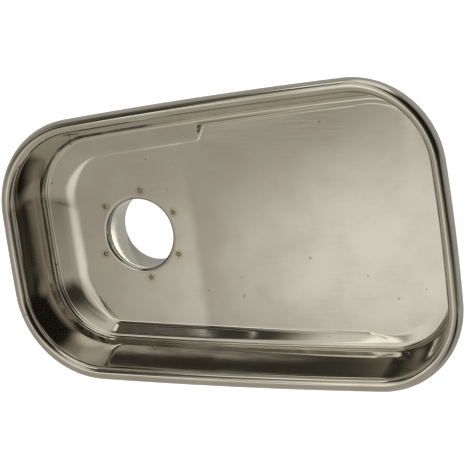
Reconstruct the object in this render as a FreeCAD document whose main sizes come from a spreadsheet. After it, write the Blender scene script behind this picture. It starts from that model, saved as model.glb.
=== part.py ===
import FreeCAD, Part

import math
import os

import Sketcher

# Pressed stainless feed tray with a rolled rim and a round spot-welded neck.
# Frame: origin on the neck's axis, level with the seat under the neck's flange; +Z up,
# +X towards the tray's wide end. Lengths are in millimetres and angles in degrees.

DIMENSIONS = [
    # plan of the tray, on the centre line of the rolled edge
    ("narrow_end_x", 76.0),
    ("narrow_end_radius", 1600.0),
    ("wide_end_x", 238.6),
    ("wide_end_radius", 1210.0),
    ("side_radius", 4000.0),
    ("side_apex_x", 325.5),
    ("side_apex_half_width", 101.9),
    ("narrow_corner_radius", 59.0),
    ("wide_corner_radius", 55.0),
    # rolled edge
    ("rim_height", 44.8),
    ("roll_radius", 5.0),
    ("roll_end_angle", 125.0),
    # pressed sheet: inner faces
    ("sheet", 1.0),
    ("ledge_height", 7.3),
    ("wall_draw_in", 13.1),
    ("narrow_wall_draw_in", 7.5),
    ("bottom_fillet", 8.0),
    # sump round the outlet, and the ramp that leads down to it
    ("floor_height", 2.0),
    ("sump_narrow_x", 60.4),
    ("sump_corner_radius", 34.0),
    ("sump_half_width", 66.3),
    ("sump_flare", 3.86),
    ("sump_slope_angle", 51.0),
    ("ramp_start_x", 42.5),
    ("ramp_end_x", 216.0),
    ("ramp_corner_radius", 36.0),
    # outlet lip
    ("lip_bend_radius", 2.0),
    ("lip_straight", 0.3),
    # neck
    ("neck_outer_radius", 26.0),
    ("neck_wall", 1.0),
    ("neck_length", 26.7),
    ("flange_radius", 36.0),
    ("flange_bend_radius", 4.5),
    # spot welds
    ("weld_circle_radius", 31.6),
    ("weld_radius", 1.8),
    ("weld_crown", 0.3),
    ("weld_angle_1", 27.0),
    ("weld_angle_2", 80.5),
    ("weld_angle_3", 138.0),
    ("weld_angle_4", 204.0),
    ("weld_angle_5", 277.0),
    ("weld_angle_6", 330.5),
]

WELD_COUNT = 6

UP = FreeCAD.Vector(0, 0, 1)


def make_sheet(document):
    dimensions = document.addObject("Spreadsheet::Sheet", "Dimensions")
    for row, (alias, value) in enumerate(DIMENSIONS, start=1):
        dimensions.set(f"A{row}", alias)
        dimensions.set(f"B{row}", str(value))
        dimensions.setAlias(f"B{row}", alias)
    document.recompute()
    return dimensions


def dim(alias):
    return float(sheet.get(alias))


# ---- sketches ----


def new_body(label):
    body = doc.addObject("PartDesign::Body", label)
    body.Label = label
    return body


def new_sketch(body, name, role, height="0"):
    """A sketch on one of the body's origin planes, raised by a formula along Z."""
    plane = next(item for item in body.Origin.OriginFeatures if item.Role == role)
    sketch = body.newObject("Sketcher::SketchObject", name)
    sketch.AttachmentSupport = [(plane, "")]
    sketch.MapMode = "FlatFace"
    axis = "z" if role == "XY_Plane" else "y"
    sketch.setExpression(f"AttachmentOffset.Base.{axis}", height)
    return sketch


def bind(sketch, constraint, formula):
    number = sketch.addConstraint(constraint)
    sketch.setExpression(f"Constraints[{number}]", formula)


def add_loop(sketch, curves, smooth=()):
    """Add curves that run end to start round a closed loop; smooth names the tangent joints."""
    sketch.addGeometry(curves, False)
    for i in range(len(curves)):
        joint = "Tangent" if i in smooth else "Coincident"
        following = (i + 1) % len(curves)
        sketch.addConstraint(Sketcher.Constraint(joint, i, 2, following, 1))


def line(x1, y1, x2, y2):
    return Part.LineSegment(FreeCAD.Vector(x1, y1, 0), FreeCAD.Vector(x2, y2, 0))


def polyline(points):
    return [line(*start, *end) for start, end in zip(points, points[1:] + points[:1])]


def arc(x, y, radius, start, end):
    if end < start:
        end += 2 * math.pi
    return Part.ArcOfCircle(Part.Circle(FreeCAD.Vector(x, y, 0), UP, radius), start, end)


# ---- plan of the tray ----


def nested_centre(first, second, radius, near):
    """Centre of the circle of this radius that touches two larger circles from inside."""
    x1, y1, radius1 = first
    x2, y2, radius2 = second
    gap = math.hypot(x2 - x1, y2 - y1)
    along = ((radius1 - radius) ** 2 - (radius2 - radius) ** 2 + gap**2) / (2 * gap)
    across = math.sqrt((radius1 - radius) ** 2 - along**2)
    unit = FreeCAD.Vector(x2 - x1, y2 - y1, 0) / gap
    sideways = FreeCAD.Vector(-unit.y, unit.x, 0)
    middle = FreeCAD.Vector(x1, y1, 0) + unit * along
    spots = [middle + sideways * across, middle - sideways * across]
    return min(spots, key=lambda spot: spot.distanceToPoint(near))


def plan_circles(inset, narrow_inset):
    """The plan's eight circles as x, y and radius, anticlockwise from the wide end."""
    half = dim("side_apex_half_width")
    side_y = dim("side_radius") - half
    side = dim("side_radius") - inset
    wide_end = (dim("wide_end_x") - dim("wide_end_radius"), 0, dim("wide_end_radius") - inset)
    narrow_x = dim("narrow_end_radius") - dim("narrow_end_x")
    narrow_end = (narrow_x, 0, dim("narrow_end_radius") - narrow_inset)
    sides = [(dim("side_apex_x"), -side_y, side), (dim("side_apex_x"), side_y, side)]
    wide_corner = dim("wide_corner_radius") - inset
    narrow_corner = dim("narrow_corner_radius") - inset
    wide_point = FreeCAD.Vector(dim("wide_end_x"), half, 0)
    narrow_point = FreeCAD.Vector(-dim("narrow_end_x"), half, 0)
    corners = [
        (wide_end, sides[0], wide_corner, wide_point),
        (sides[0], narrow_end, narrow_corner, narrow_point),
        (narrow_end, sides[1], narrow_corner, FreeCAD.Vector(narrow_point.x, -half, 0)),
        (sides[1], wide_end, wide_corner, FreeCAD.Vector(wide_point.x, -half, 0)),
    ]
    circles = []
    for before, after, radius, near in corners:
        centre = nested_centre(before, after, radius, near)
        circles.append(before)
        circles.append((centre.x, centre.y, radius))
    return circles


def direction(start, end):
    return math.atan2(end[1] - start[1], end[0] - start[0])


def draw_plan(sketch, inset, narrow_inset):
    """Draw the plan as eight tangent arcs; each inset is a formula and its value."""
    inset_formula, inset_value = inset
    narrow_formula, narrow_value = narrow_inset
    circles = plan_circles(inset_value, narrow_value)
    curves = []
    for i, circle in enumerate(circles):
        before = circles[i - 1]
        after = circles[(i + 1) % len(circles)]
        if i % 2 == 0:
            curves.append(arc(*circle, direction(circle, before), direction(circle, after)))
        else:
            curves.append(arc(*circle, direction(before, circle), direction(after, circle)))
    add_loop(sketch, curves, smooth=range(len(curves)))
    names = ["wide_end", "wide_corner", "side", "narrow_corner"]
    names += ["narrow_end", "narrow_corner", "side", "wide_corner"]
    for i, name in enumerate(names):
        cut = narrow_formula if name == "narrow_end" else inset_formula
        radius = Sketcher.Constraint("Radius", i, circles[i][2])
        bind(sketch, radius, f"Dimensions.{name}_radius - ({cut})")
    centre_x = {
        0: "Dimensions.wide_end_x - Dimensions.wide_end_radius",
        2: "Dimensions.side_apex_x",
        4: "Dimensions.narrow_end_radius - Dimensions.narrow_end_x",
        6: "Dimensions.side_apex_x",
    }
    for i, formula in centre_x.items():
        bind(sketch, Sketcher.Constraint("DistanceX", i, 3, circles[i][0]), formula)
    side_y = "Dimensions.side_radius - Dimensions.side_apex_half_width"
    bind(sketch, Sketcher.Constraint("DistanceY", 2, 3, circles[2][1]), f"-({side_y})")
    bind(sketch, Sketcher.Constraint("DistanceY", 6, 3, circles[6][1]), side_y)
    sketch.addConstraint(Sketcher.Constraint("PointOnObject", 0, 3, -1))
    sketch.addConstraint(Sketcher.Constraint("PointOnObject", 4, 3, -1))


# ---- pressed form ----


def draw_sump(sketch, grow):
    """Outline of the sump and the ramp beyond it: round corners and flared sides."""
    flare = math.radians(dim("sump_flare"))
    left = -dim("sump_narrow_x") - grow
    right = dim("ramp_end_x") + dim("sheet") + grow
    half = dim("sump_half_width") + grow / math.cos(flare)
    narrow = dim("sump_corner_radius") + grow
    wide = dim("ramp_corner_radius") + grow
    narrow_x = left + narrow
    wide_x = right - wide
    narrow_y = half + narrow_x * math.tan(flare) - narrow / math.cos(flare)
    wide_y = half + wide_x * math.tan(flare) - wide / math.cos(flare)
    square = 0.5 * math.pi
    lean = FreeCAD.Vector(-math.sin(flare), math.cos(flare), 0)
    near = FreeCAD.Vector(narrow_x, narrow_y, 0) + lean * narrow
    far = FreeCAD.Vector(wide_x, wide_y, 0) + lean * wide
    curves = [
        line(left, narrow_y, left, -narrow_y),
        arc(narrow_x, -narrow_y, narrow, 2 * square, 3 * square - flare),
        line(near.x, -near.y, far.x, -far.y),
        arc(wide_x, -wide_y, wide, -square - flare, 0),
        line(right, -wide_y, right, wide_y),
        arc(wide_x, wide_y, wide, 0, square + flare),
        line(far.x, far.y, near.x, near.y),
        arc(narrow_x, narrow_y, narrow, square + flare, 2 * square),
    ]
    add_loop(sketch, curves, smooth=range(len(curves)))
    for i, alias in [(1, "sump"), (3, "ramp"), (5, "ramp"), (7, "sump")]:
        radius = Sketcher.Constraint("Radius", i, curves[i].Radius)
        bind(sketch, radius, f"Dimensions.{alias}_corner_radius + {grow}")
    left_edge = Sketcher.Constraint("DistanceX", 0, 1, left)
    bind(sketch, left_edge, f"-Dimensions.sump_narrow_x - {grow}")
    right_edge = Sketcher.Constraint("DistanceX", 4, 1, right)
    bind(sketch, right_edge, f"Dimensions.ramp_end_x + Dimensions.sheet + {grow}")
    sketch.addConstraint(Sketcher.Constraint("Vertical", 0))
    sketch.addConstraint(Sketcher.Constraint("Vertical", 4))


def draw_ramp_cut(sketch):
    """Side view of what the ramp takes away below the floor, out to beyond the wide end."""
    start = dim("ramp_start_x")
    end = dim("ramp_end_x")
    floor = dim("floor_height")
    ledge = dim("ledge_height")
    beyond = dim("wide_end_x")
    below = -ledge
    points = [(start, below), (beyond, below), (beyond, ledge), (end, ledge), (start, floor)]
    add_loop(sketch, polyline(points))
    bind(sketch, Sketcher.Constraint("DistanceX", 3, 1, end), "Dimensions.ramp_end_x")
    bind(sketch, Sketcher.Constraint("DistanceY", 3, 1, ledge), "Dimensions.ledge_height")
    bind(sketch, Sketcher.Constraint("DistanceX", 4, 1, start), "Dimensions.ramp_start_x")
    bind(sketch, Sketcher.Constraint("DistanceY", 4, 1, floor), "Dimensions.floor_height")
    sketch.addConstraint(Sketcher.Constraint("Vertical", 4))
    sketch.addConstraint(Sketcher.Constraint("Vertical", 1))
    sketch.addConstraint(Sketcher.Constraint("Horizontal", 0))
    sketch.addConstraint(Sketcher.Constraint("Horizontal", 2))


def edges_at_height(shape, height):
    names = []
    for number, edge in enumerate(shape.Edges, start=1):
        if all(abs(vertex.Z - height) < 0.01 for vertex in edge.Vertexes):
            names.append(f"Edge{number}")
    return names


def rim_inset(layers):
    """Inset of a form's top edge from the roll's centre line, as a formula and its value."""
    value = dim("roll_radius") - layers * dim("sheet")
    return f"Dimensions.roll_radius - {layers} * Dimensions.sheet", value


def ledge_inset(alias, layers):
    """Inset where a leaning wall meets the form's base, as a formula and its value."""
    lean = f"(Dimensions.{alias} - Dimensions.roll_radius)"
    rise = "(Dimensions.rim_height - Dimensions.ledge_height)"
    formula = f"Dimensions.{alias} - {layers} * Dimensions.sheet * (1 - {lean} / {rise})"
    slope = (dim(alias) - dim("roll_radius")) / (dim("rim_height") - dim("ledge_height"))
    return formula, dim(alias) - layers * dim("sheet") * (1 - slope)


def make_form(label, layers):
    """The pressed shape as a solid: its cavity with no layer, its outside with one layer."""
    body = new_body(label)
    grow = f"{layers} * Dimensions.sheet"
    rim = new_sketch(body, label + "Rim", "XY_Plane", "Dimensions.rim_height")
    draw_plan(rim, rim_inset(layers), rim_inset(layers))
    ledge_height = f"Dimensions.ledge_height - {grow}"
    ledge = new_sketch(body, label + "Ledge", "XY_Plane", ledge_height)
    narrow_inset = ledge_inset("narrow_wall_draw_in", layers)
    draw_plan(ledge, ledge_inset("wall_draw_in", layers), narrow_inset)
    walls = body.newObject("PartDesign::AdditiveLoft", label + "Walls")
    walls.Profile = rim
    walls.Sections = [ledge]
    walls.Ruled = True
    doc.recompute()
    fillet = body.newObject("PartDesign::Fillet", label + "Fillet")
    fillet.Base = (walls, edges_at_height(walls.Shape, ledge.Placement.Base.z))
    fillet.setExpression("Radius", f"Dimensions.bottom_fillet + {grow}")
    sump = new_sketch(body, label + "SumpPlan", "XY_Plane", ledge_height)
    half_slope = math.radians(90 - dim("sump_slope_angle")) / 2
    draw_sump(sump, layers * dim("sheet") * math.tan(half_slope))
    pad = body.newObject("PartDesign::Pad", label + "Sump")
    pad.Profile = sump
    pad.Reversed = True
    pad.setExpression("Length", "Dimensions.ledge_height - Dimensions.floor_height")
    pad.setExpression("TaperAngle", "-Dimensions.sump_slope_angle")
    side_view = new_sketch(body, label + "RampSide", "XZ_Plane", f"-({grow})")
    draw_ramp_cut(side_view)
    ramp = body.newObject("PartDesign::Pocket", label + "Ramp")
    ramp.Profile = side_view
    ramp.SideType = "Symmetric"
    ramp.setExpression("Length", "4 * Dimensions.side_apex_half_width")
    doc.recompute()
    return body


# ---- rolled edge, outlet lip and the pan itself ----


def make_rolled_edge():
    """The sheet's edge, curled outwards and under, run once round the plan."""
    body = new_body("RolledEdge")
    path = new_sketch(body, "RollPath", "XY_Plane", "Dimensions.rim_height")
    draw_plan(path, ("0", 0.0), ("0", 0.0))
    section = new_sketch(body, "RollSection", "XZ_Plane", "Dimensions.rim_height")
    x = dim("wide_end_x")
    outer = dim("roll_radius")
    inner = outer - dim("sheet")
    end = -math.radians(dim("roll_end_angle"))
    tip = (math.cos(end), math.sin(end))
    curves = [
        arc(x, 0, outer, end, math.pi),
        line(x - outer, 0, x - inner, 0),
        arc(x, 0, inner, end, math.pi),
        line(x + inner * tip[0], inner * tip[1], x + outer * tip[0], outer * tip[1]),
    ]
    section.addGeometry(curves, False)
    for joint in [(0, 2, 1, 1), (1, 2, 2, 2), (2, 1, 3, 1), (3, 2, 0, 1)]:
        section.addConstraint(Sketcher.Constraint("Coincident", *joint))
    section.addConstraint(Sketcher.Constraint("Coincident", 0, 3, 2, 3))
    bind(section, Sketcher.Constraint("Radius", 0, outer), "Dimensions.roll_radius")
    inner_formula = "Dimensions.roll_radius - Dimensions.sheet"
    bind(section, Sketcher.Constraint("Radius", 2, inner), inner_formula)
    bind(section, Sketcher.Constraint("DistanceX", 0, 3, x), "Dimensions.wide_end_x")
    section.addConstraint(Sketcher.Constraint("PointOnObject", 0, 3, -1))
    section.addConstraint(Sketcher.Constraint("PointOnObject", 0, 2, -1))
    roll = body.newObject("PartDesign::AdditivePipe", "Roll")
    roll.Profile = section
    roll.Spine = path
    doc.recompute()
    return body


def make_lip():
    """The edge of the outlet hole, bent down into the neck."""
    body = new_body("OutletLip")
    section = new_sketch(body, "LipSection", "XZ_Plane")
    bend = dim("lip_bend_radius")
    sheet_thickness = dim("sheet")
    bore = dim("neck_outer_radius") - dim("neck_wall")
    x = bore + bend
    z = dim("floor_height") - bend
    tip = z - dim("lip_straight")
    curves = [
        arc(x, z, bend, 0.5 * math.pi, math.pi),
        line(bore, z, bore, tip),
        line(bore, tip, bore + sheet_thickness, tip),
        line(bore + sheet_thickness, tip, bore + sheet_thickness, z),
        arc(x, z, bend - sheet_thickness, 0.5 * math.pi, math.pi),
        line(x, z + bend - sheet_thickness, x, z + bend),
    ]
    section.addGeometry(curves, False)
    joints = [(0, 2, 1, 1), (1, 2, 2, 1), (2, 2, 3, 1), (3, 2, 4, 2), (4, 1, 5, 1), (5, 2, 0, 1)]
    for joint in joints:
        section.addConstraint(Sketcher.Constraint("Coincident", *joint))
    section.addConstraint(Sketcher.Constraint("Coincident", 0, 3, 4, 3))
    bind(section, Sketcher.Constraint("Radius", 0, bend), "Dimensions.lip_bend_radius")
    inner_bend = "Dimensions.lip_bend_radius - Dimensions.sheet"
    bind(section, Sketcher.Constraint("Radius", 4, bend - sheet_thickness), inner_bend)
    middle_x = "Dimensions.neck_outer_radius - Dimensions.neck_wall + Dimensions.lip_bend_radius"
    bind(section, Sketcher.Constraint("DistanceX", 0, 3, x), middle_x)
    middle_z = "Dimensions.floor_height - Dimensions.lip_bend_radius"
    bind(section, Sketcher.Constraint("DistanceY", 0, 3, z), middle_z)
    bind(section, Sketcher.Constraint("DistanceY", 1, 1, 1, 2, tip - z), "-Dimensions.lip_straight")
    for i in (1, 3, 5):
        section.addConstraint(Sketcher.Constraint("Vertical", i))
    section.addConstraint(Sketcher.Constraint("Horizontal", 2))
    turn_section(body, section, "Lip")
    return body


def turn_section(body, section, name):
    """Revolve a section that lies in the XZ plane once about the neck's axis."""
    revolution = body.newObject("PartDesign::Revolution", name)
    revolution.Profile = section
    revolution.ReferenceAxis = (section, ["V_Axis"])
    revolution.Angle = 360
    doc.recompute()
    return revolution


def make_outlet_tool():
    """Cylinder that opens the floor above the neck, out to where the lip's bend begins."""
    tool = doc.addObject("Part::Cylinder", "OutletTool")
    bore = "Dimensions.neck_outer_radius - Dimensions.neck_wall"
    tool.setExpression("Radius", f"{bore} + Dimensions.lip_bend_radius")
    tool.setExpression("Height", "2 * Dimensions.floor_height")
    return tool


def make_weld_set(label, domed):
    """Six round pieces through both sheets on the weld circle, flat or with a low dome."""
    pieces = []
    dome_radius = (dim("weld_radius") ** 2 + dim("weld_crown") ** 2) / (2 * dim("weld_crown"))
    for number in range(1, WELD_COUNT + 1):
        angle = f"Dimensions.weld_angle_{number}"
        across = f"Dimensions.weld_circle_radius * cos({angle} * 1 deg)"
        along = f"Dimensions.weld_circle_radius * sin({angle} * 1 deg)"
        core = doc.addObject("Part::Cylinder", f"{label}Core{number}")
        core.setExpression("Radius", "Dimensions.weld_radius")
        core.setExpression("Height", "Dimensions.floor_height + Dimensions.weld_crown")
        core.setExpression("Placement.Base.x", across)
        core.setExpression("Placement.Base.y", along)
        if domed:
            dome = doc.addObject("Part::Sphere", f"{label}Dome{number}")
            dome.Radius = dome_radius
            dome.setExpression("Placement.Base.x", across)
            dome.setExpression("Placement.Base.y", along)
            top = "Dimensions.floor_height + Dimensions.weld_crown"
            dome.setExpression("Placement.Base.z", f"{top} - {dome_radius}")
            nugget = doc.addObject("Part::Common", f"{label}Nugget{number}")
            nugget.Base = core
            nugget.Tool = dome
            core = nugget
        pieces.append(core)
    group = doc.addObject("Part::Compound", label)
    group.Links = pieces
    group.Label = label
    return group


def make_neck():
    """Flanged tube: the flange lies under the floor and turns down into the neck."""
    body = new_body("NeckBlank")
    section = new_sketch(body, "NeckSection", "XZ_Plane")
    wall = dim("neck_wall")
    outer = dim("neck_outer_radius")
    bore = outer - wall
    bend = dim("flange_bend_radius")
    end = -dim("neck_length")
    rim = dim("flange_radius")
    x = bore + bend
    z = wall - bend
    curves = [
        line(x, wall, rim, wall),
        line(rim, wall, rim, 0),
        line(rim, 0, x, 0),
        arc(x, z, bend - wall, 0.5 * math.pi, math.pi),
        line(outer, z, outer, end),
        line(outer, end, bore, end),
        line(bore, end, bore, z),
        arc(x, z, bend, 0.5 * math.pi, math.pi),
    ]
    section.addGeometry(curves, False)
    joints = [(0, 2, 1, 1), (1, 2, 2, 1), (2, 2, 3, 1), (3, 2, 4, 1)]
    joints += [(4, 2, 5, 1), (5, 2, 6, 1), (6, 2, 7, 2), (7, 1, 0, 1)]
    for joint in joints:
        section.addConstraint(Sketcher.Constraint("Coincident", *joint))
    section.addConstraint(Sketcher.Constraint("Coincident", 3, 3, 7, 3))
    for i in (0, 2, 5):
        section.addConstraint(Sketcher.Constraint("Horizontal", i))
    for i in (1, 4, 6):
        section.addConstraint(Sketcher.Constraint("Vertical", i))
    bend_formula = "Dimensions.flange_bend_radius"
    inner_bend = f"{bend_formula} - Dimensions.neck_wall"
    middle_x = f"Dimensions.neck_outer_radius - Dimensions.neck_wall + {bend_formula}"
    middle_z = f"Dimensions.neck_wall - {bend_formula}"
    bind(section, Sketcher.Constraint("Radius", 7, bend), bend_formula)
    bind(section, Sketcher.Constraint("Radius", 3, bend - wall), inner_bend)
    bind(section, Sketcher.Constraint("DistanceX", 3, 3, x), middle_x)
    bind(section, Sketcher.Constraint("DistanceY", 3, 3, z), middle_z)
    bind(section, Sketcher.Constraint("DistanceX", 1, 1, rim), "Dimensions.flange_radius")
    bind(section, Sketcher.Constraint("DistanceY", 4, 2, end), "-Dimensions.neck_length")
    turn_section(body, section, "Neck")
    return body


# ---- assembly ----


def subtract(label, base, tool):
    cut = doc.addObject("Part::Cut", label)
    cut.Base = base
    cut.Tool = tool
    return cut


def make_pan(weld_sites):
    """Formed sheet with its outlet opened, and the rolled edge and outlet lip joined on."""
    outer_form = make_form("OuterForm", layers=1)
    cavity_form = make_form("CavityForm", layers=0)
    sheet_metal = subtract("FormedSheet", outer_form, cavity_form)
    opened = subtract("OpenedSheet", sheet_metal, make_outlet_tool())
    pierced = subtract("PiercedSheet", opened, weld_sites)
    pan = doc.addObject("Part::MultiFuse", "pan")
    pan.Shapes = [pierced, make_rolled_edge(), make_lip()]
    pan.Label = "pan"
    return pan


def check_and_export(parts):
    doc.recompute()
    for item in doc.Objects:
        if "Invalid" in item.State or "Error" in item.State:
            raise RuntimeError(f"{item.Label} did not recompute: {item.State}")
    os.makedirs("parts", exist_ok=True)
    for part in parts:
        shape = part.Shape
        if shape.isNull() or not shape.isValid():
            raise RuntimeError(f"{part.Label} has no valid shape")
        shape.exportStep(f"parts/{part.Label}.step")
        print(part.Label, len(shape.Solids), "solids", round(shape.Volume), "mm3", shape.BoundBox)


doc = FreeCAD.newDocument("FeedTray")
sheet = make_sheet(doc)
weld_sites = make_weld_set("WeldSites", domed=False)
neck = subtract("neck", make_neck(), weld_sites)
neck.Label = "neck"
pan = make_pan(weld_sites)
spot_welds = make_weld_set("spot_welds", domed=True)
check_and_export([pan, neck, spot_welds])
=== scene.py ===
import math

import bpy
import numpy as np
from mathutils import Matrix, Vector


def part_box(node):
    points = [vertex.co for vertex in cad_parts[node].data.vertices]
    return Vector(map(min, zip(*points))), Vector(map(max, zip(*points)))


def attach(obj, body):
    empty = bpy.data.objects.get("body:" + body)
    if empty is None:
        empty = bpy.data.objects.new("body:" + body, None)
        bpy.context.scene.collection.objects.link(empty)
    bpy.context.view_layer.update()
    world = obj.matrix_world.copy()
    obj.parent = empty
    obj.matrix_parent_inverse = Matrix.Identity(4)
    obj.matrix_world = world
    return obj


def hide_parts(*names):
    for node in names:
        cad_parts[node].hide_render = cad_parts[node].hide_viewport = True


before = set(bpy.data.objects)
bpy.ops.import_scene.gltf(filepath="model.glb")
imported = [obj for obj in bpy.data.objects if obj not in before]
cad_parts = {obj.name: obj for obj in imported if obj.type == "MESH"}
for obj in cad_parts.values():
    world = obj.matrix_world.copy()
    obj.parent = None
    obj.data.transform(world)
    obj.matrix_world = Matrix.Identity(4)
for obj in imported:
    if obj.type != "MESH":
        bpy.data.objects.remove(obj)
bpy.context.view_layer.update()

# Feed tray of a meat mincer. Origin on the neck's axis at its seat, +Z up, +X to the wide end.
# Every length is in metres; MM turns a drawing size in millimetres into metres.

MM = 0.001

PAN_LOW, PAN_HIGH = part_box("pan")
NECK_LOW, NECK_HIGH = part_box("neck")

# ---- sizes: those of the solids, but for the bend at the wall's foot and the sump's slope ----

SHEET = 1.0 * MM
ROLL_RADIUS = 5.0 * MM
RIM_Z = PAN_HIGH.z - ROLL_RADIUS
WIDE_END_X = PAN_HIGH.x - ROLL_RADIUS
NARROW_END_X = -PAN_LOW.x - ROLL_RADIUS
WIDE_END_RADIUS = 1210 * MM
NARROW_END_RADIUS = 1600 * MM
SIDE_RADIUS = 4000 * MM
SIDE_APEX_X = 325.5 * MM
SIDE_APEX_HALF_WIDTH = 101.9 * MM
WIDE_CORNER_RADIUS = 55 * MM
NARROW_CORNER_RADIUS = 59 * MM

# Height of the wall's foot, which is the solids' ledge.
LEDGE_Z = 7.3 * MM
FLOOR_Z = 2.0 * MM
WALL_DRAW_IN = 13.1 * MM
NARROW_WALL_DRAW_IN = 7.5 * MM
# The solids have 8 mm. The photographed sheet turns more sharply.
BOTTOM_FILLET = 3.0 * MM

RAMP_START_X = 42.5 * MM
RAMP_END_X = 216 * MM

BORE_RADIUS = 25 * MM
LIP_BEND = 2.0 * MM
LIP_STRAIGHT = 0.3 * MM
FLANGE_RADIUS = NECK_HIGH.x
FLANGE_BEND = 4.5 * MM
WELD_CIRCLE = 31.6 * MM
WELD_ANGLES = [27.0, 80.5, 138.0, 204.0, 277.0, 330.5]


# ---- plan of the tray ----

def nested_centre(first, second, radius):
    """Centre of the circle of this radius that touches two larger circles from inside."""
    (x1, y1, radius1), (x2, y2, radius2) = first, second
    gap = math.hypot(x2 - x1, y2 - y1)
    along = ((radius1 - radius) ** 2 - (radius2 - radius) ** 2 + gap * gap) / (2 * gap)
    across = math.sqrt((radius1 - radius) ** 2 - along * along)
    ux, uy = (x2 - x1) / gap, (y2 - y1) / gap
    spots = [
        (x1 + ux * along - uy * across, y1 + uy * along + ux * across),
        (x1 + ux * along + uy * across, y1 + uy * along - ux * across),
    ]
    return min(spots, key=lambda spot: math.hypot(*spot))


def plan_ring(counts, inset, narrow_inset):
    """Points and outward directions round the plan, set in from the roll's centre line."""
    side_y = SIDE_RADIUS - SIDE_APEX_HALF_WIDTH
    side = SIDE_RADIUS - inset
    wide = (WIDE_END_X - WIDE_END_RADIUS, 0.0, WIDE_END_RADIUS - inset)
    narrow = (NARROW_END_RADIUS - NARROW_END_X, 0.0, NARROW_END_RADIUS - narrow_inset)
    upper = (SIDE_APEX_X, -side_y, side)
    lower = (SIDE_APEX_X, side_y, side)
    wide_corner = WIDE_CORNER_RADIUS - inset
    narrow_corner = NARROW_CORNER_RADIUS - inset
    big = [wide, upper, narrow, lower]
    corners = [wide_corner, narrow_corner, narrow_corner, wide_corner]
    circles = []
    for i, radius in enumerate(corners):
        centre = nested_centre(big[i], big[(i + 1) % 4], radius)
        circles += [big[i], (*centre, radius)]
    points = []
    outward = []
    for i, (x, y, radius) in enumerate(circles):
        before, after = circles[i - 1], circles[(i + 1) % 8]
        if i % 2 == 0:
            start = math.atan2(before[1] - y, before[0] - x)
            end = math.atan2(after[1] - y, after[0] - x)
        else:
            start = math.atan2(y - before[1], x - before[0])
            end = math.atan2(y - after[1], x - after[0])
        turn = (end - start) % (2 * math.pi)
        angles = start + turn * np.arange(counts[i]) / counts[i]
        unit = np.stack([np.cos(angles), np.sin(angles)], axis=1)
        points.append(np.array([x, y]) + radius * unit)
        outward.append(unit)
    return np.concatenate(points), np.concatenate(outward)


# ---- sheet sections: insets from the roll's centre line, at a height ----

def lean_angle(draw_in):
    """Lean of a wall that touches the roll and is drawn in by this much at the ledge."""
    drop = RIM_Z - LEDGE_Z
    return math.acos(ROLL_RADIUS / math.hypot(draw_in, drop)) - math.atan2(drop, draw_in)


WALL_BOW = 0.25 * MM


def wall_inset(z, draw_in):
    """Inset of the wall's inner face at height z, from the roll down through the fillet."""
    lean = lean_angle(draw_in)
    above = z - RIM_Z
    if above > ROLL_RADIUS * math.sin(lean):
        return math.sqrt(max(ROLL_RADIUS**2 - above**2, 0.0))
    straight_end = LEDGE_Z + BOTTOM_FILLET * (1 - math.sin(lean))
    if z > straight_end:
        share = (z - straight_end) / (RIM_Z + ROLL_RADIUS * math.sin(lean) - straight_end)
        bow = WALL_BOW * math.sin(math.pi * share) ** 2
        return (ROLL_RADIUS - above * math.sin(lean)) / math.cos(lean) - bow
    centre_drop = RIM_Z - LEDGE_Z - BOTTOM_FILLET
    centre = (ROLL_RADIUS + BOTTOM_FILLET + centre_drop * math.sin(lean)) / math.cos(lean)
    rise = 1 - (z - LEDGE_Z) / BOTTOM_FILLET
    return centre - BOTTOM_FILLET * math.sqrt(max(1 - rise * rise, 0.0))


ROLL_TIP = math.radians(-125)
ROLL_RINGS = 48
WALL_RINGS = 20
FILLET_RINGS = 14
STATIONS = [96, 60, 150, 56, 80, 56, 150, 60]


def section_rings():
    """Inset, inset at the narrow end and height, from the curl's hidden edge to the wall's foot."""
    lean = lean_angle(WALL_DRAW_IN)
    rings = []
    for angle in np.linspace(ROLL_TIP, math.pi - lean, ROLL_RINGS):
        inset = -ROLL_RADIUS * math.cos(angle)
        rings.append((inset, inset, RIM_Z + ROLL_RADIUS * math.sin(angle)))
    top = RIM_Z + ROLL_RADIUS * math.sin(lean)
    foot = LEDGE_Z + BOTTOM_FILLET * (1 - math.sin(lean))
    heights = list(np.linspace(top, foot, WALL_RINGS + 1)[1:])
    bend = np.linspace(math.pi / 2 - lean, 0, FILLET_RINGS + 1)[1:]
    heights += [LEDGE_Z + BOTTOM_FILLET * (1 - math.cos(b)) for b in bend]
    for z in heights:
        rings.append((wall_inset(z, WALL_DRAW_IN), wall_inset(z, NARROW_WALL_DRAW_IN), z))
    return rings


# ---- floor: slope, sump and ramp ----

def soft_ramp(x, half_width):
    """Zero before the start, x after it, with a parabola of this half width between."""
    middle = (x + half_width) ** 2 / (4 * half_width)
    return np.where(x < -half_width, 0.0, np.where(x > half_width, x, middle))


CREASE_SOFTNESS = 3.5 * MM
RAMP_END_SOFTNESS = 7 * MM


def floor_height(x):
    """Height of the sump's flat floor and of the ramp that climbs from it to the wall's foot."""
    end = RAMP_END_X - RAMP_END_SOFTNESS
    climb = (LEDGE_Z - FLOOR_Z) / (end - RAMP_START_X)
    rise = soft_ramp(x - RAMP_START_X, CREASE_SOFTNESS)
    return FLOOR_Z + climb * (rise - soft_ramp(x - end, RAMP_END_SOFTNESS))


def smooth_step(start, end, value):
    """Zero before the start, one after the end, with a smooth change between."""
    share = np.clip((value - start) / (end - start), 0.0, 1.0)
    return share * share * (3 - 2 * share)


# Width of the sump's slope, and half the length of the bend at its foot:
# near side, far side, narrow end.
SLOPE_WIDTHS = (7.0 * MM, 11.0 * MM, 14.0 * MM)
FOOT_BENDS = (1.6 * MM, 3.0 * MM, 7.0 * MM)
SLOPE_TOP_BEND = 0.8 * MM
# Past the crease the far slope closes up against the wall, over this stretch of x.
FAR_RAMP_WIDTH = 2.4 * MM
FAR_RAMP_BEND = 1.2 * MM
FAR_RAMP_X = (54.5 * MM, 60.5 * MM)
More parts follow.
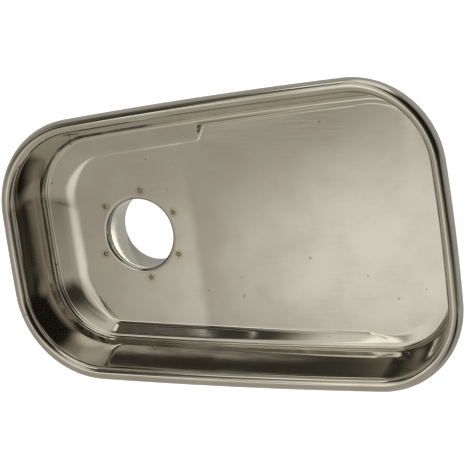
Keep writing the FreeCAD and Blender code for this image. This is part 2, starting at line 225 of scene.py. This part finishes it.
# Parts of the outward direction over which one side passes into the next.
NEAR_TO_FAR = (-0.5, 0.5)
SIDE_TO_NARROW_END = (0.15, 0.95)
FAR_SIDE = (0.0, 0.5)


def mixed(first, second, share):
    """The first at share 0, the second at share 1."""
    return first + (second - first) * share


def round_the_sump(values, outward):
    """A value for each station from those of the near side, the far side and the narrow end."""
    near, far, narrow = values
    side = mixed(near, far, smooth_step(*NEAR_TO_FAR, outward[:, 1]))
    return mixed(side, narrow, smooth_step(*SIDE_TO_NARROW_END, -outward[:, 0]))


def basin_height(points, inside, outward):
    """Height this far in from the wall's foot: down the sump's slope and onto its floor."""
    on_ramp = smooth_step(*FAR_RAMP_X, points[:, 0]) * smooth_step(*FAR_SIDE, outward[:, 1])
    width = mixed(round_the_sump(SLOPE_WIDTHS, outward), FAR_RAMP_WIDTH, on_ramp)
    bend = mixed(round_the_sump(FOOT_BENDS, outward), FAR_RAMP_BEND, on_ramp)
    ends = soft_ramp(inside - SLOPE_TOP_BEND, SLOPE_TOP_BEND)
    ends = ends - soft_ramp(inside - SLOPE_TOP_BEND - width, bend)
    return LEDGE_Z - (LEDGE_Z - floor_height(points[:, 0])) * ends / width


TOP_RINGS = 8
FOOT_RINGS = 60
FOOT_END = 23 * MM
INNER_FLOOR_RINGS = 16
OUTER_FLOOR_RINGS = 44
LIP_RINGS = 8
# Least cosine between a ray from the outlet and the wall that it meets.
LEAST_FACING = 0.3
# Rays that miss the crease put it far away, held to this share of the ray.
LEAST_RAY_X = 0.01
CREASE_SHARE_LIMIT = 0.85
# Above 1, the rings past the crease crowd towards it.
OUTER_SPACING = 1.5


def floor_rings(foot, outward):
    """Rings from the wall's foot down the slope and over the floor to the outlet's lip."""
    foot_radius = np.hypot(foot[:, 0], foot[:, 1])
    ray = foot / foot_radius[:, None]
    facing = np.maximum(np.sum(ray * outward, axis=1), LEAST_FACING)
    hole = BORE_RADIUS + LIP_BEND
    rings = []

    def add(points, heights):
        rings.append(np.column_stack([points, heights]))

    top = np.linspace(0, 2 * SLOPE_TOP_BEND, TOP_RINGS, endpoint=False)[1:]
    for inside in np.append(top, np.linspace(2 * SLOPE_TOP_BEND, FOOT_END, FOOT_RINGS)):
        radius = foot_radius - inside / facing
        points = ray * radius[:, None]
        add(points, basin_height(points, inside, outward))
    start = radius
    crease = RAMP_START_X / np.maximum(ray[:, 0], LEAST_RAY_X)
    split = np.clip((crease - hole) / (start - hole), 0.0, CREASE_SHARE_LIMIT)
    outer_shares = np.linspace(1, 0, OUTER_FLOOR_RINGS + 1)[1:] ** OUTER_SPACING
    outer = [split + (1 - split) * share for share in outer_shares]
    inner = [split * share for share in np.linspace(1, 0, INNER_FLOOR_RINGS + 1)[1:]]
    for share in outer + inner:
        points = ray * (hole + (start - hole) * share)[:, None]
        add(points, floor_height(points[:, 0]))
    for turn in np.linspace(0, math.pi / 2, LIP_RINGS + 1)[1:]:
        height = FLOOR_Z - LIP_BEND * (1 - math.cos(turn))
        add(ray * (hole - LIP_BEND * math.sin(turn)), np.full(len(ray), height))
    add(ray * BORE_RADIUS, np.full(len(ray), FLOOR_Z - LIP_BEND - LIP_STRAIGHT))
    return rings


# ---- meshes ----

def grid_normals(grid):
    """Unit normals of a grid of rings, towards the face that is seen from inside the tray."""
    around = np.roll(grid, -1, axis=1) - np.roll(grid, 1, axis=1)
    along = np.gradient(grid, axis=0)
    normals = np.cross(around, along)
    return normals / np.linalg.norm(normals, axis=2, keepdims=True)


def strip_faces(rings, stations, offset, flip):
    """Quads between neighbouring rings of a closed strip whose vertices start at offset."""
    ring = np.arange(rings - 1)[:, None] * stations + offset
    here = np.arange(stations)[None, :]
    following = (here + 1) % stations
    below = ring + stations
    quads = np.stack([ring + here, ring + following, below + following, below + here], axis=2)
    quads = quads.reshape(-1, 4)
    return quads[:, ::-1] if flip else quads


def new_piece(name, points, faces, node):
    """A smooth mesh on the root body, in place of a CAD node."""
    mesh = bpy.data.meshes.new(name)
    mesh.from_pydata(points.tolist(), [], faces.tolist())
    mesh.validate()
    mesh.shade_smooth()
    piece = bpy.data.objects.new(name, mesh)
    bpy.context.scene.collection.objects.link(piece)
    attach(piece, "root")
    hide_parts(node)
    return piece


WALL_WAVES = (7, 12, 19)
WALL_WAVE = 0.06 * MM
WALL_PHASE = 2.0
CURL_WAVES = (97, 131, 173)
CURL_WAVE = 0.05 * MM
CURL_PHASE = 1.7
CURL_WAVE_ENDS = (math.radians(-20), math.radians(25))


def uneven_wave(share, counts, phase):
    """A few sine waves round the plan whose counts share no rhythm."""
    turns = 2 * math.pi * share
    waves = [np.sin(count * turns + (i + 1) * phase) for i, count in enumerate(counts)]
    return sum(waves) / len(waves)


def pressed_waves(rings, stations):
    """Each point's lift off the smooth form: slow waves in the wall, wrinkles under the curl."""
    share = np.arange(stations) / stations
    lift = np.zeros((rings, stations))
    for i, angle in enumerate(np.linspace(ROLL_TIP, math.pi, ROLL_RINGS)):
        wrinkled = 1 - smooth_step(*CURL_WAVE_ENDS, angle)
        lift[i] = CURL_WAVE * wrinkled * uneven_wave(share, CURL_WAVES, CURL_PHASE)
    wall = WALL_RINGS + FILLET_RINGS
    for i in range(wall):
        down = (i + 1) / (wall + 1)
        wave = uneven_wave(share, WALL_WAVES, WALL_PHASE + down)
        lift[ROLL_RINGS + i] = WALL_WAVE * math.sin(math.pi * down) * wave
    return lift


def make_pan():
    """The pressed sheet: the seen face ring by ring, and the other face a sheet's thickness away."""
    rings = []
    for inset, narrow_inset, z in section_rings():
        points, outward = plan_ring(STATIONS, inset, narrow_inset)
        rings.append(np.column_stack([points, np.full(len(points), z)]))
    rings += floor_rings(rings[-1][:, :2], outward)
    seen = np.array(rings)
    seen = seen + pressed_waves(*seen.shape[:2])[..., None] * grid_normals(seen)
    normals = grid_normals(seen)
    kept = np.unique(np.append(np.arange(0, len(seen), 2), len(seen) - 1))
    hidden = (seen - SHEET * normals)[kept]
    stations = seen.shape[1]
    points = np.concatenate([seen.reshape(-1, 3), hidden.reshape(-1, 3)])
    start = len(seen) * stations
    faces = [
        strip_faces(len(seen), stations, 0, False),
        strip_faces(len(hidden), stations, start, True),
    ]
    here = np.arange(stations)
    following = (here + 1) % stations
    last_seen = (len(seen) - 1) * stations
    last_hidden = start + (len(hidden) - 1) * stations
    curl_edge = [here, start + here, start + following, following]
    lip_edge = [last_seen + following, last_hidden + following, last_hidden + here, last_seen + here]
    faces += [np.stack(curl_edge, axis=1), np.stack(lip_edge, axis=1)]
    return new_piece("tray_pan", points, np.concatenate(faces), "pan")


def turned(profile, segments):
    """Points and faces of a closed profile of (radius, z) turned about the neck's axis."""
    angles = 2 * math.pi * np.arange(segments) / segments
    unit = np.stack([np.cos(angles), np.sin(angles)], axis=1)
    grid = np.array([np.column_stack([unit * radius, np.full(segments, z)]) for radius, z in profile])
    faces = strip_faces(len(grid), segments, 0, True)
    here = np.arange(segments)
    following = (here + 1) % segments
    last = (len(grid) - 1) * segments
    closing = np.stack([last + here, here, following, last + following], axis=1)
    return grid.reshape(-1, 3), np.concatenate([faces, closing])


def arc_profile(x, z, radius, start, end, steps):
    """Points of an arc of a profile, between two angles in degrees."""
    angles = np.radians(np.linspace(start, end, steps))
    return [(x + radius * math.cos(a), z + radius * math.sin(a)) for a in angles]


EDGE_ROUND = 0.25 * MM
FLANGE_MARGIN = 1 * MM
EDGE_STEPS = 5
OUTER_BEND_STEPS = 10
INNER_BEND_STEPS = 14
TUBE_STEPS = 12
NECK_SEGMENTS = 256


def make_neck():
    """Flanged tube with broken edges."""
    wall = SHEET
    outer = BORE_RADIUS + wall
    bottom = NECK_LOW.z
    bend_x = BORE_RADIUS + FLANGE_BEND
    bend_z = wall - FLANGE_BEND
    rim = FLANGE_RADIUS - EDGE_ROUND
    profile = [(bend_x + FLANGE_MARGIN, wall), (rim - FLANGE_MARGIN, wall)]
    profile += arc_profile(rim, wall - EDGE_ROUND, EDGE_ROUND, 90, 0, EDGE_STEPS)
    profile += arc_profile(rim, EDGE_ROUND, EDGE_ROUND, 0, -90, EDGE_STEPS)
    profile += arc_profile(bend_x, bend_z, FLANGE_BEND - wall, 90, 180, OUTER_BEND_STEPS)
    profile += [(outer, z) for z in np.linspace(bend_z, bottom, TUBE_STEPS)[1:-1]]
    profile += arc_profile(outer - EDGE_ROUND, bottom + EDGE_ROUND, EDGE_ROUND, 0, -90, EDGE_STEPS)
    inner = BORE_RADIUS + EDGE_ROUND
    profile += arc_profile(inner, bottom + EDGE_ROUND, EDGE_ROUND, -90, -180, EDGE_STEPS)
    profile += [(BORE_RADIUS, z) for z in np.linspace(bottom, bend_z, TUBE_STEPS)[1:-1]]
    profile += arc_profile(bend_x, bend_z, FLANGE_BEND, 180, 90, INNER_BEND_STEPS)
    points, faces = turned(profile, NECK_SEGMENTS)
    return new_piece("neck_tube", points, faces, "neck")


# ---- materials ----

def new_material(name):
    """A node material with its nodes, its links and its shader."""
    material = bpy.data.materials.new(name)
    material.use_nodes = True
    nodes = material.node_tree.nodes
    links = material.node_tree.links
    return material, nodes, links, nodes["Principled BSDF"]


def noise_from(nodes, links, place, scale, detail=2.0, stretch=(1, 1, 1)):
    """A noise's strength at this scale per metre, stretched along the axes with a small factor."""
    squeeze = nodes.new("ShaderNodeMapping")
    squeeze.inputs["Scale"].default_value = stretch
    links.new(place, squeeze.inputs["Vector"])
    cloud = nodes.new("ShaderNodeTexNoise")
    cloud.inputs["Scale"].default_value = scale
    cloud.inputs["Detail"].default_value = detail
    links.new(squeeze.outputs["Vector"], cloud.inputs["Vector"])
    return cloud.outputs["Fac"]


def ranged(nodes, links, value, source, target):
    """The value carried from its source range to a target range, and held at its ends."""
    change = nodes.new("ShaderNodeMapRange")
    change.interpolation_type = "SMOOTHSTEP"
    change.inputs["From Min"].default_value, change.inputs["From Max"].default_value = source
    change.inputs["To Min"].default_value, change.inputs["To Max"].default_value = target
    links.new(value, change.inputs["Value"])
    return change.outputs["Result"]


def painted(nodes, links, share, under, colour):
    """The colour laid over what is under it, by this share."""
    mix = nodes.new("ShaderNodeMix")
    mix.data_type = "RGBA"
    links.new(share, mix.inputs["Factor"])
    if isinstance(under, tuple):
        mix.inputs["A"].default_value = (*under, 1)
    else:
        links.new(under, mix.inputs["A"])
    mix.inputs["B"].default_value = (*colour, 1)
    return mix.outputs["Result"]


def combined(nodes, links, operation, first, second):
    """Two values put together by a math operation."""
    step = nodes.new("ShaderNodeMath")
    step.operation = operation
    links.new(first, step.inputs[0])
    links.new(second, step.inputs[1])
    return step.outputs[0]


def bumped(nodes, links, shader, heights):
    """Bumps of these heights in metres, one over the other."""
    normal = None
    for height, distance in heights:
        bump = nodes.new("ShaderNodeBump")
        bump.inputs["Distance"].default_value = distance
        links.new(height, bump.inputs["Height"])
        if normal:
            links.new(normal, bump.inputs["Normal"])
        normal = bump.outputs["Normal"]
    links.new(normal, shader.inputs["Normal"])


# Noise scales are counts per metre, bump heights are lengths, and ranges run from start to end.
CLOUD_SCALE = 28
CLOUD_DETAIL = 5.0
CLOUD_RANGE = (0.35, 0.7)
GRAIN_SCALE = 900
GRAIN_DETAIL = 3.0
GRAIN_HEIGHT = 0.0015 * MM
SHINE_RANGE = (0.15, 0.4)
SWELL_SCALE = 45
SWELL_HEIGHT = 0.03 * MM

# colour, dull colour, roughness from polished to dull, stretch of the grain
SHEET_LOOK = ((0.66, 0.635, 0.575), (0.60, 0.57, 0.51), (0.055, 0.11), (0.04, 1, 1))
NECK_LOOK = ((0.63, 0.61, 0.51), (0.55, 0.53, 0.43), (0.09, 0.18), (1, 1, 0.05))


def stainless(name, colour, dull_colour, roughness, stretch):
    """Worn polished sheet: cloudy tone, fine polishing grain along one axis, faint unevenness."""
    material, nodes, links, shader = new_material(name)
    shader.inputs["Metallic"].default_value = 1.0
    place = nodes.new("ShaderNodeTexCoord").outputs["Object"]
    cloud = noise_from(nodes, links, place, CLOUD_SCALE, CLOUD_DETAIL)
    grain = noise_from(nodes, links, place, GRAIN_SCALE, GRAIN_DETAIL, stretch)
    dull = ranged(nodes, links, cloud, CLOUD_RANGE, (0, 1))
    tone = painted(nodes, links, dull, colour, dull_colour)
    links.new(tone, shader.inputs["Base Color"])
    both = combined(nodes, links, "MULTIPLY", cloud, grain)
    links.new(ranged(nodes, links, both, SHINE_RANGE, roughness), shader.inputs["Roughness"])
    swell = noise_from(nodes, links, place, SWELL_SCALE)
    bumped(nodes, links, shader, [(swell, SWELL_HEIGHT), (grain, GRAIN_HEIGHT)])
    return material


SPECK_CELLS = 150
SPECK_PICK = (0.93, 1.0)
SPECK_REACH = (0.05, 0.22)
SPECK_COLOUR = (0.20, 0.15, 0.09)
STAIN_REACH = (1.5 * MM, 5.0 * MM)
STAIN_COLOUR = (0.40, 0.33, 0.21)
MOTTLE_SCALE = 700
MOTTLE_DETAIL = 4.0
MOTTLE_RANGE = (0.35, 0.65)
MOTTLE_STRENGTH = (0.2, 0.9)
WELD_PLACES = [
    (WELD_CIRCLE * math.cos(math.radians(angle)), WELD_CIRCLE * math.sin(math.radians(angle)))
    for angle in WELD_ANGLES
]


def sheet_with_wear():
    """The pan's sheet: stainless with brown specks on it and a straw tint round the welds."""
    material = stainless("drawn_stainless", *SHEET_LOOK)
    nodes, links = material.node_tree.nodes, material.node_tree.links
    shader = nodes["Principled BSDF"]
    tone = shader.inputs["Base Color"].links[0].from_socket
    place = nodes.new("ShaderNodeTexCoord").outputs["Object"]
    cells = nodes.new("ShaderNodeTexVoronoi")
    cells.inputs["Scale"].default_value = SPECK_CELLS
    links.new(place, cells.inputs["Vector"])
    pick = nodes.new("ShaderNodeSeparateColor")
    links.new(cells.outputs["Color"], pick.inputs["Color"])
    chosen = ranged(nodes, links, pick.outputs["Red"], SPECK_PICK, (0, 1))
    small = ranged(nodes, links, cells.outputs["Distance"], SPECK_REACH, (1, 0))
    speck = combined(nodes, links, "MULTIPLY", chosen, small)
    tone = painted(nodes, links, speck, tone, SPECK_COLOUR)
    nearest = None
    for x, y in WELD_PLACES:
        reach = nodes.new("ShaderNodeVectorMath")
        reach.operation = "DISTANCE"
        reach.inputs[1].default_value = (x, y, FLOOR_Z)
        links.new(place, reach.inputs[0])
        away = reach.outputs["Value"]
        nearest = combined(nodes, links, "MINIMUM", nearest, away) if nearest else away
    mottle = noise_from(nodes, links, place, MOTTLE_SCALE, MOTTLE_DETAIL)
    strength = ranged(nodes, links, mottle, MOTTLE_RANGE, MOTTLE_STRENGTH)
    stained = ranged(nodes, links, nearest, STAIN_REACH, (1, 0))
    stained = combined(nodes, links, "MULTIPLY", stained, strength)
    tone = painted(nodes, links, stained, tone, STAIN_COLOUR)
    links.new(tone, shader.inputs["Base Color"])
    return material


NUGGET_DARK = (0.28, 0.23, 0.14)
NUGGET_BROWN = (0.50, 0.44, 0.32)
NUGGET_LIGHT = (0.58, 0.54, 0.44)
PIT_SCALE = 1300
PIT_DETAIL = 4.0
PIT_RANGE = (0.4, 0.6)
PIT_HEIGHT = 0.12 * MM
PIT_SHINE_RANGE = (0.3, 0.7)
PIT_ROUGHNESS = (0.5, 0.25)
FLAKE_SCALE = 500
FLAKE_DETAIL = 2.0
FLAKE_RANGE = (0.55, 0.7)
FLAKE_STRENGTH = (0, 0.8)
FLAKE_HEIGHT = 0.2 * MM


def weld_metal():
    """Burnt weld nuggets: olive brown with dark and light spots, rough and pitted."""
    material, nodes, links, shader = new_material("weld_metal")
    shader.inputs["Metallic"].default_value = 1.0
    place = nodes.new("ShaderNodeTexCoord").outputs["Object"]
    pits = noise_from(nodes, links, place, PIT_SCALE, PIT_DETAIL)
    flakes = noise_from(nodes, links, place, FLAKE_SCALE, FLAKE_DETAIL)
    brown = ranged(nodes, links, pits, PIT_RANGE, (0, 1))
    light = ranged(nodes, links, flakes, FLAKE_RANGE, FLAKE_STRENGTH)
    tone = painted(nodes, links, brown, NUGGET_DARK, NUGGET_BROWN)
    tone = painted(nodes, links, light, tone, NUGGET_LIGHT)
    links.new(tone, shader.inputs["Base Color"])
    shine = ranged(nodes, links, pits, PIT_SHINE_RANGE, PIT_ROUGHNESS)
    links.new(shine, shader.inputs["Roughness"])
    bumped(nodes, links, shader, [(pits, PIT_HEIGHT), (flakes, FLAKE_HEIGHT)])
    return material


# ---- camera, floor and light ----

CAMERA_AZIMUTH = math.radians(26.39)
CAMERA_TILT = math.radians(26.98)
CAMERA_ROLL = math.radians(8.24)
CAMERA_DISTANCE = 1.3045
CAMERA_TARGET = Vector((0.09145, 0.00799, RIM_Z))
CAMERA_LENS = 151.15
CAMERA_SHIFT = (0.0023, -0.0069)
CAMERA_REACH = 10


def make_camera():
    """The scene's camera, above the tray and a little towards its wide end."""
    away = Vector((
        math.sin(CAMERA_TILT) * math.cos(CAMERA_AZIMUTH),
        math.sin(CAMERA_TILT) * math.sin(CAMERA_AZIMUTH),
        math.cos(CAMERA_TILT),
    ))
    level = (-away).cross(Vector((0, 1, 0))).normalized()
    down = (-away).cross(level)
    cos, sin = math.cos(CAMERA_ROLL), math.sin(CAMERA_ROLL)
    right = cos * level + sin * down
    up = sin * level - cos * down
    data = bpy.data.cameras.new("camera")
    data.lens = CAMERA_LENS
    data.shift_x, data.shift_y = CAMERA_SHIFT
    data.clip_end = CAMERA_REACH
    camera = bpy.data.objects.new("camera", data)
    place = Matrix.Translation(CAMERA_TARGET + away * CAMERA_DISTANCE)
    camera.matrix_world = place @ Matrix((right, up, away)).transposed().to_4x4()
    bpy.context.scene.collection.objects.link(camera)
    bpy.context.scene.camera = camera


FLOOR_REACH = 3.0
FLOOR_COLOUR = (0.8, 0.8, 0.8)
FLOOR_LEVEL = 1.0
STAGE_ROUGHNESS = 0.9
CARD_COLOUR = (0.1, 0.1, 0.1)
CARD_LEVEL = 0.28
CARD_DROP = 0.5 * MM

# Glowing discs under the outlet, which only the metal sees:
# x, y and radius in millimetres, and level.
SPOTS = [(-10, 4, 17, 0.42), (-10, 2, 8, 1.7), (1, -13, 11, 0.06)]


def flat_piece(name, outline, z, colour, glow):
    """A flat stage piece that glows a little, so that it stays pale."""
    mesh = bpy.data.meshes.new(name)
    mesh.from_pydata([(x, y, z) for x, y in outline], [], [tuple(range(len(outline)))])
    material, _, _, shader = new_material(name)
    shader.inputs["Base Color"].default_value = (*colour, 1)
    shader.inputs["Roughness"].default_value = STAGE_ROUGHNESS
    shader.inputs["Emission Color"].default_value = (1, 1, 1, 1)
    shader.inputs["Emission Strength"].default_value = glow
    mesh.materials.append(material)
    piece = bpy.data.objects.new(name, mesh)
    bpy.context.scene.collection.objects.link(piece)
    return piece


def make_floor():
    """The pale floor, and the greyer card with glowing discs that the metal sees in its place."""
    corners = [(-1, -1), (1, -1), (1, 1), (-1, 1)]
    square = [(FLOOR_REACH * x, FLOOR_REACH * y) for x, y in corners]
    floor = flat_piece("floor", square, NECK_LOW.z, FLOOR_COLOUR, FLOOR_LEVEL)
    floor.visible_glossy = False
    card_z = NECK_LOW.z - CARD_DROP
    card = flat_piece("floor_card", square, card_z, CARD_COLOUR, CARD_LEVEL)
    card.visible_camera = False
    turns = np.radians(np.arange(0, 360, 10))
    for i, (x, y, radius, level) in enumerate(SPOTS):
        ring = [(x + radius * math.cos(turn), y + radius * math.sin(turn)) for turn in turns]
        ring = [(MM * x, MM * y) for x, y in ring]
        z = card_z + CARD_DROP * (i + 1) / (len(SPOTS) + 1)
        spot = flat_piece(f"floor_spot_{i + 1}", ring, z, CARD_COLOUR, level)
        spot.visible_camera = False


def make_world():
    """A plain white world."""
    world = bpy.data.worlds.new("studio")
    bpy.context.scene.world = world
    world.use_nodes = True
    world.node_tree.nodes["Background"].inputs["Color"].default_value = (1, 1, 1, 1)


DOME_RADIUS = 1.6
DOME_CENTRE = Vector((0.08, 0.0, 0.03))
DOME_START = 0.2
DOME_EDGE = 98
DOME_RINGS = 196
DOME_SEGMENTS = 360
BRIGHT_TINT = (1.03, 1.0, 0.92)
DARK_TINT = (1.10, 1.0, 0.78)
BRIGHT_LEVEL = 0.8

# Below the horizon the dome is the pale side of the studio, above it the dark side, in degrees
# from the zenith. The panels are painted over it in this order.
PALE_LEVEL = 0.43
DARK_LEVEL = 0.045
HORIZON = -8
HORIZON_TILT = -0.2
HORIZON_SOFTNESS = 6

# Soft light from low all round. It starts, and is full, at these tilts from the zenith.
FILL_TILTS = (50, 82)
FILL_LEVEL = 0.38

# across, up, half width, half height, turn, softness, level; places and turns in degrees.
# Set against the photograph, from the direction that each part of the metal reflects.
PANELS = [
    (-80, 15, 22, 32, 0, 0.5, 0.25),
    (45, 20, 38, 36, 0, 0.4, 0.015),
    (72, -8, 20, 10, 0, 0.5, 0.3),
    (9, 74, 25, 28, 0, 0.35, 0.9),
    (-19, 58, 9, 7, 0, 0.12, 1.4),
    (36, -42, 16, 26, 0, 0.5, 0.015),
    (-50, 27, 14, 14, 0, 0.5, 0.3),
    (-8, 36, 9, 26, 15, 0.45, 0.62),
    (-29, 42, 5, 0.8, 0, 0.5, 0.7),
    (-15, 12, 9, 20, 5, 0.5, 0.78),
    (-18, -14.5, 10, 5.5, 0, 0.6, 0.93),
    (-16, 1, 3, 7, 0, 0.4, 1.35),
    (-27, -1, 5, 4, 0, 0.4, 1.5),
    (-40, -54, 34, 16, 0, 0.5, 0.4),
]


def dome_level(across, up):
    """Brightness of the studio, seen this many degrees across and up from the zenith."""
    line = HORIZON + HORIZON_TILT * across
    dark = smooth_step(line - HORIZON_SOFTNESS, line + HORIZON_SOFTNESS, up)
    light = PALE_LEVEL + (DARK_LEVEL - PALE_LEVEL) * dark
    for x, y, width, height, turn, softness, level in PANELS:
        cos, sin = math.cos(math.radians(turn)), math.sin(math.radians(turn))
        along = ((across - x) * cos + (up - y) * sin) / width
        beside = ((up - y) * cos - (across - x) * sin) / height
        cover = 1 - smooth_step(1 - softness, 1 + softness, np.hypot(along, beside))
        light = light + (level - light) * cover
    low = smooth_step(*FILL_TILTS, np.hypot(across, up))
    return np.maximum(light, FILL_LEVEL * low)


def make_dome():
    """Soft studio light: a dome of pale walls, dark flags and softboxes round the object."""
    tilt = np.radians(np.linspace(DOME_START, DOME_EDGE, DOME_RINGS))[:, None]
    turn = 2 * math.pi * np.arange(DOME_SEGMENTS)[None, :] / DOME_SEGMENTS
    directions = [np.sin(tilt) * np.cos(turn), np.sin(tilt) * np.sin(turn), np.cos(tilt) + 0 * turn]
    points = DOME_RADIUS * np.stack(directions, axis=2)
    light = dome_level(np.degrees(tilt) * np.cos(turn), np.degrees(tilt) * np.sin(turn))
    share = np.clip(light / BRIGHT_LEVEL, 0, 1)[..., None]
    tint = np.array(DARK_TINT) + share * (np.array(BRIGHT_TINT) - np.array(DARK_TINT))
    colours = np.concatenate([light[..., None] * tint, np.ones((*light.shape, 1))], axis=2)
    mesh = bpy.data.meshes.new("dome")
    faces = strip_faces(DOME_RINGS, DOME_SEGMENTS, 0, False)
    mesh.from_pydata((points + np.array(DOME_CENTRE)).reshape(-1, 3).tolist(), [], faces.tolist())
    layer = mesh.color_attributes.new("light", "FLOAT_COLOR", "POINT")
    layer.data.foreach_set("color", colours.astype(np.float32).ravel())
    material, nodes, links, _ = new_material("studio_light")
    source = nodes.new("ShaderNodeAttribute")
    source.attribute_name = "light"
    glow = nodes.new("ShaderNodeEmission")
    links.new(source.outputs["Color"], glow.inputs["Color"])
    links.new(glow.outputs["Emission"], nodes["Material Output"].inputs["Surface"])
    material.cycles.emission_sampling = "NONE"
    mesh.materials.append(material)
    dome = bpy.data.objects.new("dome", mesh)
    dome.visible_camera = False
    bpy.context.scene.collection.objects.link(dome)


# ---- the scene ----

make_camera()
make_floor()
make_world()
make_dome()
pan = make_pan()
pan.data.materials.append(sheet_with_wear())
neck = make_neck()
neck.data.materials.append(stainless("neck_stainless", *NECK_LOOK))
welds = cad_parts["spot_welds"]
welds.data.materials.clear()
welds.data.materials.append(weld_metal())

bpy.context.scene.view_settings.view_transform = "Standard"
